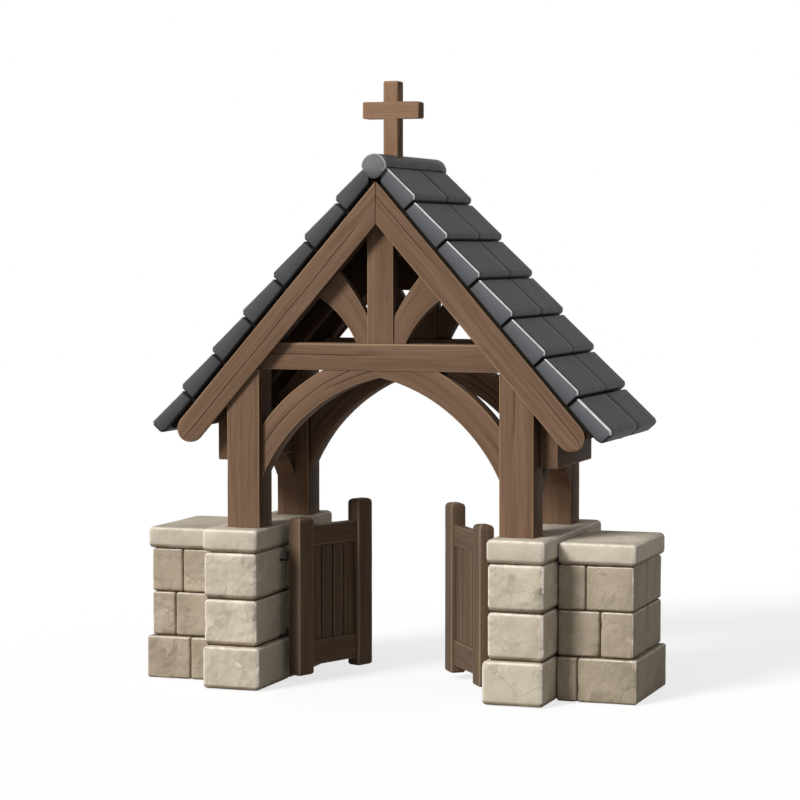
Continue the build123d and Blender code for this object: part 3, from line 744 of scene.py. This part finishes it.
def dressed(node, arris, grain_of, material, segments=2, keep=None, ends=()):
    """A copy of a node's solid, sawn off at its ends and with its arrises eased. grain_of turns a
    point into grain metres, and an end is a point and the normal of its saw cut."""
    bm = bmesh.new()
    bm.from_mesh(frame["nodes"][node].data)
    bmesh.ops.remove_doubles(bm, verts=bm.verts, dist=1e-5)
    bmesh.ops.dissolve_limit(bm, angle_limit=flat_angle, verts=bm.verts, edges=bm.edges)
    for layer in list(bm.loops.layers.uv.values()):
        bm.loops.layers.uv.remove(layer)
    for end in ends:
        saw(bm, *end)
    grain = bm.verts.layers.float_vector.new("grain")
    wear_and_highlight, _, side_shade_mask = marks(bm, "wear_and_highlight", "shake", "side_shade_mask")
    edges = [edge for edge in bm.edges if len(edge.link_faces) == 2
             and edge.calc_face_angle() > sharp_angle and (keep is None or keep(edge))]
    made = bmesh.ops.bevel(bm, geom=edges, offset=arris, segments=segments, profile=0.5, affect="EDGES",
                           material=-1, clamp_overlap=True)
    eased = set(made["faces"])
    # Bevelled arrises are marked pale, for wear and painted highlight.
    for vert in bm.verts:
        if vert.link_faces and all(face in eased for face in vert.link_faces):
            vert[wear_and_highlight] = 1.0
    seed = draw.uniform(0, 50)
    for vert in bm.verts:
        vert[grain] = Vector(grain_of(vert.co)) + Vector((seed, seed, 0))
    side_shade(bm, side_shade_mask)
    add_piece(bm, node + "_timber", node, [material])


def on_slope(side, run, rise, y=0.0):
    """Point at a run down the slope from the apex and a rise square to it, in metres."""
    x = run * cos_pitch + rise * sin_pitch
    return Vector((side * x, y, apex_z - run * sin_pitch + rise * cos_pitch))


def along_rafter(p):
    """Grain metres of a point on a rafter, along it, across its thickness and its depth."""
    return abs(p.x) * down_slope.x + p.z * down_slope.z, p.y, abs(p.x) * sin_pitch + p.z * cos_pitch


down_slope = Vector((cos_pitch, 0, -sin_pitch))
rafter_ends = [(on_slope(side, rafter_run, 0), (side * down_slope.x, 0, down_slope.z)) for side in (-1, 1)]
dressed("eaves_plates", 0.010, lambda p: (p.y, p.x, p.z), frame_oak)
dressed("side_braces", 0.006, lambda p: (p.z + abs(p.y), p.x, p.z - abs(p.y)), frame_oak)
dressed("ridge_beam", 0.005, lambda p: (p.y, p.x, p.z), shaded_roof_oak)
for node in ("principal_rafters", "common_rafters"):
    dressed(node, 0.006, along_rafter, shaded_roof_oak, ends=rafter_ends)

# Deck: rough sawn boards laid edge to edge along the roof, nailed to the rafters under the slates.
# They close the roof from below, and their ends stop behind the bargeboards.
deck_low, deck_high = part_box("roof_deck")
deck_thickness = 0.025
deck_setback = 0.028
deck_run = (deck_high.x - deck_setback) / cos_pitch
deck_board_count = 15
deck_board_gap = 0.003
deck_board_arris = 0.002
deck_board_width = deck_run / deck_board_count
deck_boards = oak("rough_sawn_boards", "#463528", "#392b20", "#2a1f17", "#55422f", 0.4, 0.85, 0.4)

boarding = bmesh.new()
for side in (-1, 1):
    for number in range(deck_board_count):
        middle = on_slope(side, (number + 0.5) * deck_board_width, -deck_thickness / 2)
        outline = section(deck_thickness, deck_board_width - deck_board_gap, (deck_board_arris,) * 4,
                          spacing=0.5)
        start, end = middle + Vector((0, deck_low.y, 0)), middle + Vector((0, deck_high.y, 0))
        board = timber(outline, straight(start, end, off_slope(side), step=0.3), wave=0.0004)
        if number == 0:
            saw(board, (0, 0, 0), (-side, 0, 0))
        into(boarding, board)
add_piece(boarding, "deck_boarding", "roof_deck", [deck_boards])

# Bargeboards: wide oak boards on the gables, mitred at the apex, with rounded feet and a long
# shake in the face. They are nailed to the ends of the deck and the faces of the rafters.
barge_deep = 0.192
barge_radius = barge_deep / 2
barge_over = 0.2
barge_foot_x = 1.425
barge_foot_run = (barge_foot_x - barge_radius * sin_pitch) / cos_pitch + barge_radius * math.tan(pitch)
barge_foot_steps = 7
barge_foot_turn = math.radians(84)
mitre_gap = 0.005
barge_arrises = {-1: (0.005, 0.012, 0.012, 0.005), 1: (0.012, 0.005, 0.005, 0.012)}
barge_shake = {-1: 0.44, 1: 0.66}

for node, side, low, high, middle in four("bargeboard"):
    start = on_slope(side, -barge_over, -barge_radius, middle.y)
    foot = on_slope(side, barge_foot_run, -barge_radius, middle.y)
    stations = straight(start, foot, (0, side, 0))
    along, length = (foot - start).normalized(), (foot - start).length
    for number in range(1, barge_foot_steps + 1):
        turn = barge_foot_turn * number / barge_foot_steps
        reach = barge_radius * math.sin(turn)
        at = place(foot + along * reach, along, (0, side, 0))
        stations.append((at, length + reach, 0.0, math.cos(turn)))
    shakes = (barge_shake[side],)
    outline = section(high.y - low.y, barge_deep, barge_arrises[side], shakes, shakes)
    raise_timber(timber(outline, stations, open_share=0.2), node,
                 ((side * mitre_gap / 2, 0, 0), (-side, 0, 0)))

# Slates: thick slabs of dark riven slate, seven courses to a slope and two slabs to a course, each
# bedded in dark mortar with its tail over the next. The verge shows their full edge, its upper arris
# painted near-white as painted highlight and its face painted lighter as painted light.
slate_courses = 7
slate_step = 0.032
slate_rise = 0.150
slate_first_x = 0.300
slate_last_x = 1.650
slate_arris = 0.012
slate_gap = 0.010
slate_bed = 0.020
slate_nose = 0.022
slate_seam, seam_wander = 0.07, 0.012
slate_grid = 0.07
slate_wave = 0.0011
inner_arris_highlight = 0.05
eave_easing = 0.018
eave_arris = 0.018
# Painted light on the verge faces: stronger on the right slope than the left, and growing towards the top.
verge_light_by_side = {-1: 0.45, 1: 0.85}
verge_low, verge_gain = 0.35, 0.65
bedding_setback = 0.035
bedding_top = 0.05
bedding_foot = 0.08
bedding_clear = 0.001
roll_seat = 0.045
slate_half, slate_high_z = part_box("roof_slates_right")[1].yz


def slate(name, pale, mid, highlight_tone, verge_tone):
    """Riven slate, rubbed smooth: blue grey with faint clouds and streaks, arrises painted pale as
    painted highlight, and marked verge faces painted lighter as painted light.
    """
    made, shader, add = start_material(name, 0.5, 0.07)
    tone, spot = on_stone(add, (29.0, 13.0, 19.0))
    wear_and_highlight = add("Attribute", attribute_name="wear_and_highlight")["Fac"]
    cloud = add("TexNoise", {"Vector": spot, "Scale": 1 / 0.11, "Detail": 4.0, "Roughness": 0.6})["Fac"]
    grit = add("TexNoise", {"Vector": spot, "Scale": 1 / 0.005, "Detail": 3.0})["Fac"]
    wide = add("MapRange", (cloud, 0.35, 0.65))[0]
    body = add("Mix", {0: wide, 6: mid, 7: pale}, data_type="RGBA")[2]
    cast = add("MapRange", (tone, 0.0, 1.0, 0.88, 1.10))[0]
    body = add("VectorMath", {0: body, 3: cast}, operation="SCALE")[0]
    # Painted light: marked verge faces are mixed towards the lighter verge tone.
    verge = add("Attribute", attribute_name="verge")["Fac"]
    body = add("Mix", {0: verge, 6: body, 7: verge_tone}, data_type="RGBA")[2]
    rim_variation = add("MapRange", (cloud, 0.3, 0.55, 0.65, 1.0))[0]
    edge = add("Math", (wear_and_highlight, rim_variation), operation="MULTIPLY")[0]
    # Painted highlight: marked arrises are mixed towards the near-white highlight tone.
    body = add("Mix", {0: edge, 6: body, 7: highlight_tone}, data_type="RGBA")[2]
    height = add("Math", (grit, 0.25, cloud), operation="MULTIPLY_ADD")[0]
    surface(add, shader, body, height, 0.25, 0.004)
    return made


roof_slate = slate("riven_slate", "#3d3d3d", "#333333", "#eeeeea", "#74757a")
bedding = mortar("dark_bedding_mortar", 0.012, 4.0, "#15120f", "#2b2621", 0.5, 0.004)


def prism(corners, y_high):
    """A closed block whose outline runs through the corners and is drawn out along Y to y_high."""
    bm = bmesh.new()
    outline = [bm.verts.new(corner) for corner in corners]
    ring, _ = draw_on(bm, bm.faces.new(outline), first=True)
    bmesh.ops.translate(bm, vec=(0, y_high - corners[0][1], 0), verts=ring)
    bmesh.ops.recalc_face_normals(bm, faces=bm.faces)
    return bm


def slab(side, corners, y_low, y_high, arris):
    """A slab from its (run, rise) corners, from its lower top round to its lower underside."""
    tone = draw.random()
    bm = prism([on_slope(side, run, rise, y_low) for run, rise in corners], y_high)
    wear_and_highlight, tones, verges = marks(bm, "wear_and_highlight", "tone", "verge")
    bmesh.ops.bevel(bm, geom=bm.edges[:], offset=arris, segments=3, profile=0.5, affect="EDGES",
                    material=-1)
    grid_cuts(bm, slate_grid, (follows(1), lambda run: not follows(1)(run)), least=2, digits=2)
    bm.normal_update()
    up = off_slope(side)
    for vert in bm.verts:
        vert[tones] = tone
        from_end = min(abs(vert.co.y - y_low), abs(vert.co.y - y_high))
        at_verge = slate_half - abs(vert.co.y) < 0.95 * arris
        # The verge's upper arris gets the full painted highlight, other upper arrises a faint one.
        if at_verge and vert.normal.dot(up) > 0.25 and from_end > 1e-5:
            vert[wear_and_highlight] = 1.0
        elif 0.3 < vert.normal.dot(up) < 0.93:
            vert[wear_and_highlight] = inner_arris_highlight
        # Verge faces are marked for painted light, more towards the top.
        if abs(vert.co.y) > slate_half - 1e-5:
            height = (vert.co.dot(up) - apex_z * up.z - slate_bed) / (slate_rise - slate_bed)
            vert[verges] = verge_light_by_side[side] * (verge_low + verge_gain * min(1.0, max(0.0, height)))
        swell = 1 + noise.noise(vert.co * 7 + Vector((tone * 40, 0, 0)))
        vert.co -= vert.normal * slate_wave * swell
    return bm


run_gain = (slate_last_x - slate_first_x) / (slate_courses - 1) / cos_pitch
first_run = (slate_first_x - slate_rise * sin_pitch) / cos_pitch
nose_rise = slate_rise - slate_nose * (1 + slate_step / run_gain)
nose_top = slate_rise - slate_nose * slate_step / run_gain
bed_half = slate_half - bedding_setback
bed_foot = first_run + (slate_courses - 1) * run_gain - bedding_foot
bed_head = (roll_seat - bedding_top * sin_pitch) / cos_pitch
bed_corners = ((2 * bedding_clear, bedding_clear), (bed_foot, bedding_clear), (bed_foot, bedding_top),
               (bed_head, bedding_top))
for side, hand in hands:
    covering = bmesh.new()
    for course in range(slate_courses):
        tail = first_run + course * run_gain
        head = tail - run_gain + slate_gap
        last = course == slate_courses - 1
        corners = [(tail, nose_rise), (tail - slate_nose, nose_top), (head, slate_rise - slate_step),
                   (head, slate_bed), (tail, slate_bed)]
        if last:
            corners[4:] = [(tail - 2.5 * eave_easing, slate_bed), (tail, slate_bed + eave_easing)]
        seam = slate_seam + draw.uniform(-seam_wander, seam_wander)
        for y_low, y_high in ((-slate_half, seam - slate_gap / 4), (seam + slate_gap / 4, slate_half)):
            part = slab(side, corners, y_low, y_high, eave_arris if last else slate_arris)
            if course == 0:
                saw(part, (side * roll_seat, 0, 0), (-side, 0, 0))
            into(covering, part)
    corners = [on_slope(side, run, rise, -bed_half) for run, rise in bed_corners]
    corners += [Vector((side * x, -bed_half, slate_high_z - bedding_clear))
                for x in (roll_seat - bedding_clear, bedding_clear)]
    lay_mortar(covering, prism(corners, bed_half))
    add_piece(covering, "slate_courses_" + hand, "roof_slates_" + hand, [roof_slate, bedding])

# Ridge roll: rubbed slate that straddles the top courses, with a stopped end over each verge.
# The roll sits level on the heads of the slates, and each stop ends below in a rounded point.
roll_low, roll_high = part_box("ridge_roll")
roll_radius = (roll_high.x - roll_low.x) / 2
roll_rise = 0.179
roll_centre_z = apex_z + roll_rise - roll_radius
roll_clear = 0.0005
roll_level = slate_high_z + roll_clear - roll_centre_z
roll_arris, stop_arris = 0.004, 0.008
stop_thickness = 0.022
stop_drop, stop_roundness = 0.080, 2.2
stop_lap = 0.002
roll_segments, stop_segments = 32, 16
ridge_slate = slate("rubbed_slate", "#4a494a", "#3f3e40", "#dededa", "#545455")


def round_bar(outline, y_from, y_to, arris):
    """A bar of the outline along Y from y_from to y_to with rounded ends, drawn by extrusion."""
    bm = bmesh.new()
    points = bm.verts.layers.int.new("point")
    tones, wear_and_highlight, verges = marks(bm, "tone", "wear_and_highlight", "verge")
    length = abs(y_to - y_from)
    way = 1 if y_to > y_from else -1
    # The third value of a stop marks the upper rim of a rounded end for painted highlight.
    stops = [(0.0, arris, 0.15), (0.3 * arris, 0.3 * arris, 1.0), (arris, 0.0, 0.1)]
    stops += [(arris + (length - 2 * arris) * i / 10, 0.0, 0.0) for i in range(1, 10)]
    stops += [(length - arris, 0.0, 0.1), (length - 0.3 * arris, 0.3 * arris, 1.0), (length, arris, 0.15)]
    ring = [bm.verts.new((x, 0, z)) for x, z in outline]
    for number, vert in enumerate(ring):
        vert[points] = number
    cap = bm.faces.new(ring)
    for number, (reach, inset, edge) in enumerate(stops):
        if number:
            ring, cap = draw_on(bm, cap, number == 1)
        for vert in ring:
            x, z = outline[vert[points]]
            share = 1 - inset / roll_radius
            vert.co = (x * share, y_from + way * reach, roll_centre_z + z * share)
            vert[wear_and_highlight] = edge if z > -0.3 * roll_radius else 0.0
            vert[tones] = 0.5
            vert[verges] = 1.0 if min(reach, length - reach) < 0.4 * arris else 0.0
    bmesh.ops.recalc_face_normals(bm, faces=bm.faces)
    return bm


turns = [math.pi * i / roll_segments for i in range(roll_segments + 1)]
crown = [(roll_radius * math.cos(turn), roll_radius * math.sin(turn)) for turn in turns]
seat = [(-roll_seat, roll_level), (roll_seat, roll_level)]
shares = [2 * i / stop_segments for i in range(1, stop_segments)]
drop = [(-roll_radius * (1 - s), -stop_drop * (1 - abs(1 - s) ** stop_roundness)) for s in shares]
stop_back = roll_high.y - stop_thickness
roll = round_bar(crown + seat, -stop_back, stop_back, roll_arris)
for end in (-1, 1):
    into(roll, round_bar(crown + drop, end * roll_high.y, end * (stop_back - stop_lap), stop_arris))
add_piece(roll, "ridge_roll_slate", "ridge_roll", [ridge_slate])

# Cross: shaft and arms of lighter oak, halved into each other and stood in the ridge roll, with
# eased arrises and corners rounded by weather.
cross_oak = oak("oiled_cross_oak", "#9b7a62", "#8c6d55", "#725844", "#b18e71", 0.6, 0.6, 0.70)
cross_arris = 0.014
shaft_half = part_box("cross_shaft")[1].x
arm_low, arm_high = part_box("cross_arms")


def outside_joint(edge):
    """Whether an edge of the cross lies outside the halved joint of its pieces."""
    middle = (edge.verts[0].co + edge.verts[1].co) / 2
    in_x = abs(middle.x) < shaft_half + 1e-4
    in_z = arm_low.z - 1e-4 < middle.z < arm_high.z + 1e-4
    return not (in_x and in_z)


dressed("cross_shaft", cross_arris, lambda p: (p.z, p.x, p.y), cross_oak, 4, outside_joint)
dressed("cross_arms", cross_arris, lambda p: (p.x, p.z, p.y), cross_oak, 4, outside_joint)

# Gate leaves: a hinge stile, a taller meeting stile with domed heads, two rails tenoned between
# them and four upright boards set back in the frame, all of dark stained oak with rounded arrises.
# The gate oak's pale arris tone is painted highlight, partly wear.
gate_oak = oak("stained_gate_oak", "#705d4b", "#614f41", "#493a31", "#a9927a", 0.7, 0.58)
leaf_rest = {"left": 68, "right": 54}
leaf_heel = -0.025
leaf_gap = 0.015
leaf_back = 0.017
stile_width = 0.150
stile_thickness = 0.110
stile_arris = 0.013
stile_easing = 0.010
stile_wave = 0.0008
hinge_stile_top = 1.15
head_rounding = 0.030
dome_steps = 5
dome_turn = math.radians(80)
rail_thickness = 0.070
rail_setback = 0.020
rail_arrises = (0.006, 0.012, 0.012, 0.006)
low_rail_top, high_rail_foot = 0.285, 0.945
leaf_board_count = 4
board_width = 0.096
board_thickness = 0.028
board_setback = 0.035
board_arris = 0.005
board_wave = 0.0006

for side, hand in hands:
    body = hand + "_gate"
    hinge = [joint for joint in frame["joints"] if joint["name"] == body + "_hinge"][0]["pos_m"]
    turn = math.radians(leaf_rest[hand])
    along = Vector((-side * math.cos(turn), math.sin(turn), 0))
    front = Vector((-side * math.sin(turn), -math.cos(turn), 0))
    pivot = Vector((hinge[0], hinge[1], 0))
    leaf_toe = abs(hinge[0]) - leaf_gap
    rail_from, rail_to = leaf_heel + stile_width, leaf_toe - stile_width

    def leaf_point(reach, forward, z):
        """Point of the leaf at a reach from the pin, a distance forward of it and a height."""
        return pivot + along * reach + front * forward + Vector((0, 0, z))

    stile_mid = leaf_back + stile_thickness / 2
    stiles = bmesh.new()
    low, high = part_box(body + "_stiles")
    reaches = (leaf_heel + stile_width / 2, leaf_toe - stile_width / 2)
    for reach, top in zip(reaches, (hinge_stile_top, high.z)):
        outline = section(stile_thickness, stile_width, (stile_arris,) * 4, spacing=0.03)
        neck = leaf_point(reach, stile_mid, top - head_rounding)
        stations = straight(leaf_point(reach, stile_mid, low.z), neck, -front, eased=stile_easing)
        for number in range(1, dome_steps + 1):
            turned = dome_turn * number / dome_steps
            rise = head_rounding * math.sin(turned)
            inset = 0.9 * head_rounding * (1 - math.cos(turned))
            stations.append((place(neck + Vector((0, 0, rise)), (0, 0, 1), -front),
                             top - head_rounding + rise - low.z, inset))
        into(stiles, timber(outline, stations, stile_wave))
    add_piece(stiles, body + "_stile_pair", body + "_stiles", [gate_oak], body)

    rails = bmesh.new()
    low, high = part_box(body + "_rails")
    rail_mid = leaf_back + stile_thickness - rail_setback - rail_thickness / 2
    for rail_low, rail_high in ((low.z, low_rail_top), (high_rail_foot, high.z)):
        outline = section(rail_thickness, rail_high - rail_low, rail_arrises)
        middle = (rail_low + rail_high) / 2
        stations = straight(leaf_point(rail_to, rail_mid, middle), leaf_point(rail_from, rail_mid, middle),
                            front * side)
        into(rails, timber(outline, stations, stile_wave))
    add_piece(rails, body + "_rail_pair", body + "_rails", [gate_oak], body)

    boards = bmesh.new()
    low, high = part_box(body + "_boards")
    board_mid = leaf_back + stile_thickness - board_setback - board_thickness / 2
    board_spacing = (rail_to - rail_from) / leaf_board_count
    for number in range(leaf_board_count):
        reach = rail_from + (number + 0.5) * board_spacing
        outline = section(board_thickness, board_width, (board_arris,) * 4)
        foot, head = leaf_point(reach, board_mid, low.z), leaf_point(reach, board_mid, high.z)
        into(boards, timber(outline, straight(foot, head, -front), board_wave))
    add_piece(boards, body + "_board_set", body + "_boards", [gate_oak], body)

# Hinges: bands and hooks of wrought iron, hammered and blacked, with a little rust in patches.
# The bands clasp the hinge stiles and turn on the pins of hooks that are leaded into the walls.
gate_iron, shader, add = start_material("blacked_wrought_iron", 0.55, 0.5)
shader.inputs["Metallic"].default_value = 1.0
spot = add("TexCoord")["Object"]
hammer = add("TexNoise", {"Vector": spot, "Scale": 1 / 0.008, "Detail": 3.0})["Fac"]
rust = add("MapRange", (hammer, 0.52, 0.68))[0]
mixed = add("Mix", {0: rust, 6: "#2b2a2a", 7: "#4a3528"}, data_type="RGBA")[2]
surface(add, shader, mixed, hammer, 0.4, 0.002)
for node in ("gate_hooks", "left_gate_bands", "right_gate_bands"):
    frame["nodes"][node].data.materials.clear()
    frame["nodes"][node].data.materials.append(gate_iron)

# Stage: a plain pale floor, a soft key light from the left front and a pale sky as fill. Floor and
# sky look brighter to the camera than they are as lights, so that the picture's ground is white.
white = (1, 1, 1, 1)
floor_glow = 0.74
floor_tones = (0.32, 0.32, 0.32, 1), (0.30, 0.30, 0.30, 1)
sky_fill = 0.30


def seen_share(add):
    """1 for what the camera sees, straight, mirrored or through glass, and 0 for light that bounces."""
    rays = add("LightPath")
    seen = add("Math", (rays["Is Camera Ray"], rays["Is Glossy Ray"]), operation="MAXIMUM")[0]
    return add("Math", (seen, rays["Is Transmission Ray"]), operation="MAXIMUM")[0]


grid = bmesh.new()
bmesh.ops.create_grid(grid, x_segments=1, y_segments=1, size=40)
floor_mesh = bpy.data.meshes.new("floor")
grid.to_mesh(floor_mesh)
grid.free()
floor_paint, shader, add = start_material("pale_floor", 0.9)
tree = floor_paint.node_tree
seen = seen_share(add)
floor_tone = add("Mix", {0: seen, 6: floor_tones[0], 7: floor_tones[1]}, data_type="RGBA")[2]
tree.links.new(floor_tone, shader.inputs["Base Color"])
glow = add("Emission", {"Color": white, "Strength": floor_glow})[0]
both = add("AddShader", (shader.outputs[0], glow))[0]
pick = add("MixShader", (seen, shader.outputs[0], both))[0]
tree.links.new(pick, tree.nodes["Material Output"].inputs["Surface"])
floor_mesh.materials.append(floor_paint)
put("floor", floor_mesh)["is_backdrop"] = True

sky = bpy.data.worlds.new("studio")
sky.use_nodes = True
bpy.context.scene.world = sky
tree = sky.node_tree
add = adder(tree)
level = add("MapRange", (seen_share(add), 0.0, 1.0, sky_fill, 1.0))[0]
tree.links.new(level, tree.nodes["Background"].inputs["Strength"])
tree.nodes["Background"].inputs["Color"].default_value = white

key = bpy.data.lights.new("key", "SUN")
key.energy = 3.1
key.angle = math.radians(18)
put("key", key).rotation_euler = (math.radians(57.3), 0, math.radians(-28.4))

# Camera: at the photograph's angle, from the right front, three metres up and tilted down a little.
# Its lens is worked out from the focal length in pixels of a picture 800 pixels wide.
camera_turn = 0.33
camera_swing = 0.002
camera_tilt = 0.059
camera_distance = 18.0
camera_height = 3.024
lens_pixels, picture_width = 2605.4, 800
view = bpy.data.cameras.new("camera")
view.sensor_width = 36
view.lens = lens_pixels * view.sensor_width / picture_width
camera = put("camera", view)
camera.location = (camera_distance * math.sin(camera_turn), -camera_distance * math.cos(camera_turn),
                   camera_height)
camera.rotation_euler = (math.pi / 2 - camera_tilt, 0, camera_turn + camera_swing)
bpy.context.scene.camera = camera
bpy.context.scene.view_settings.view_transform = "Standard"

low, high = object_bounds()
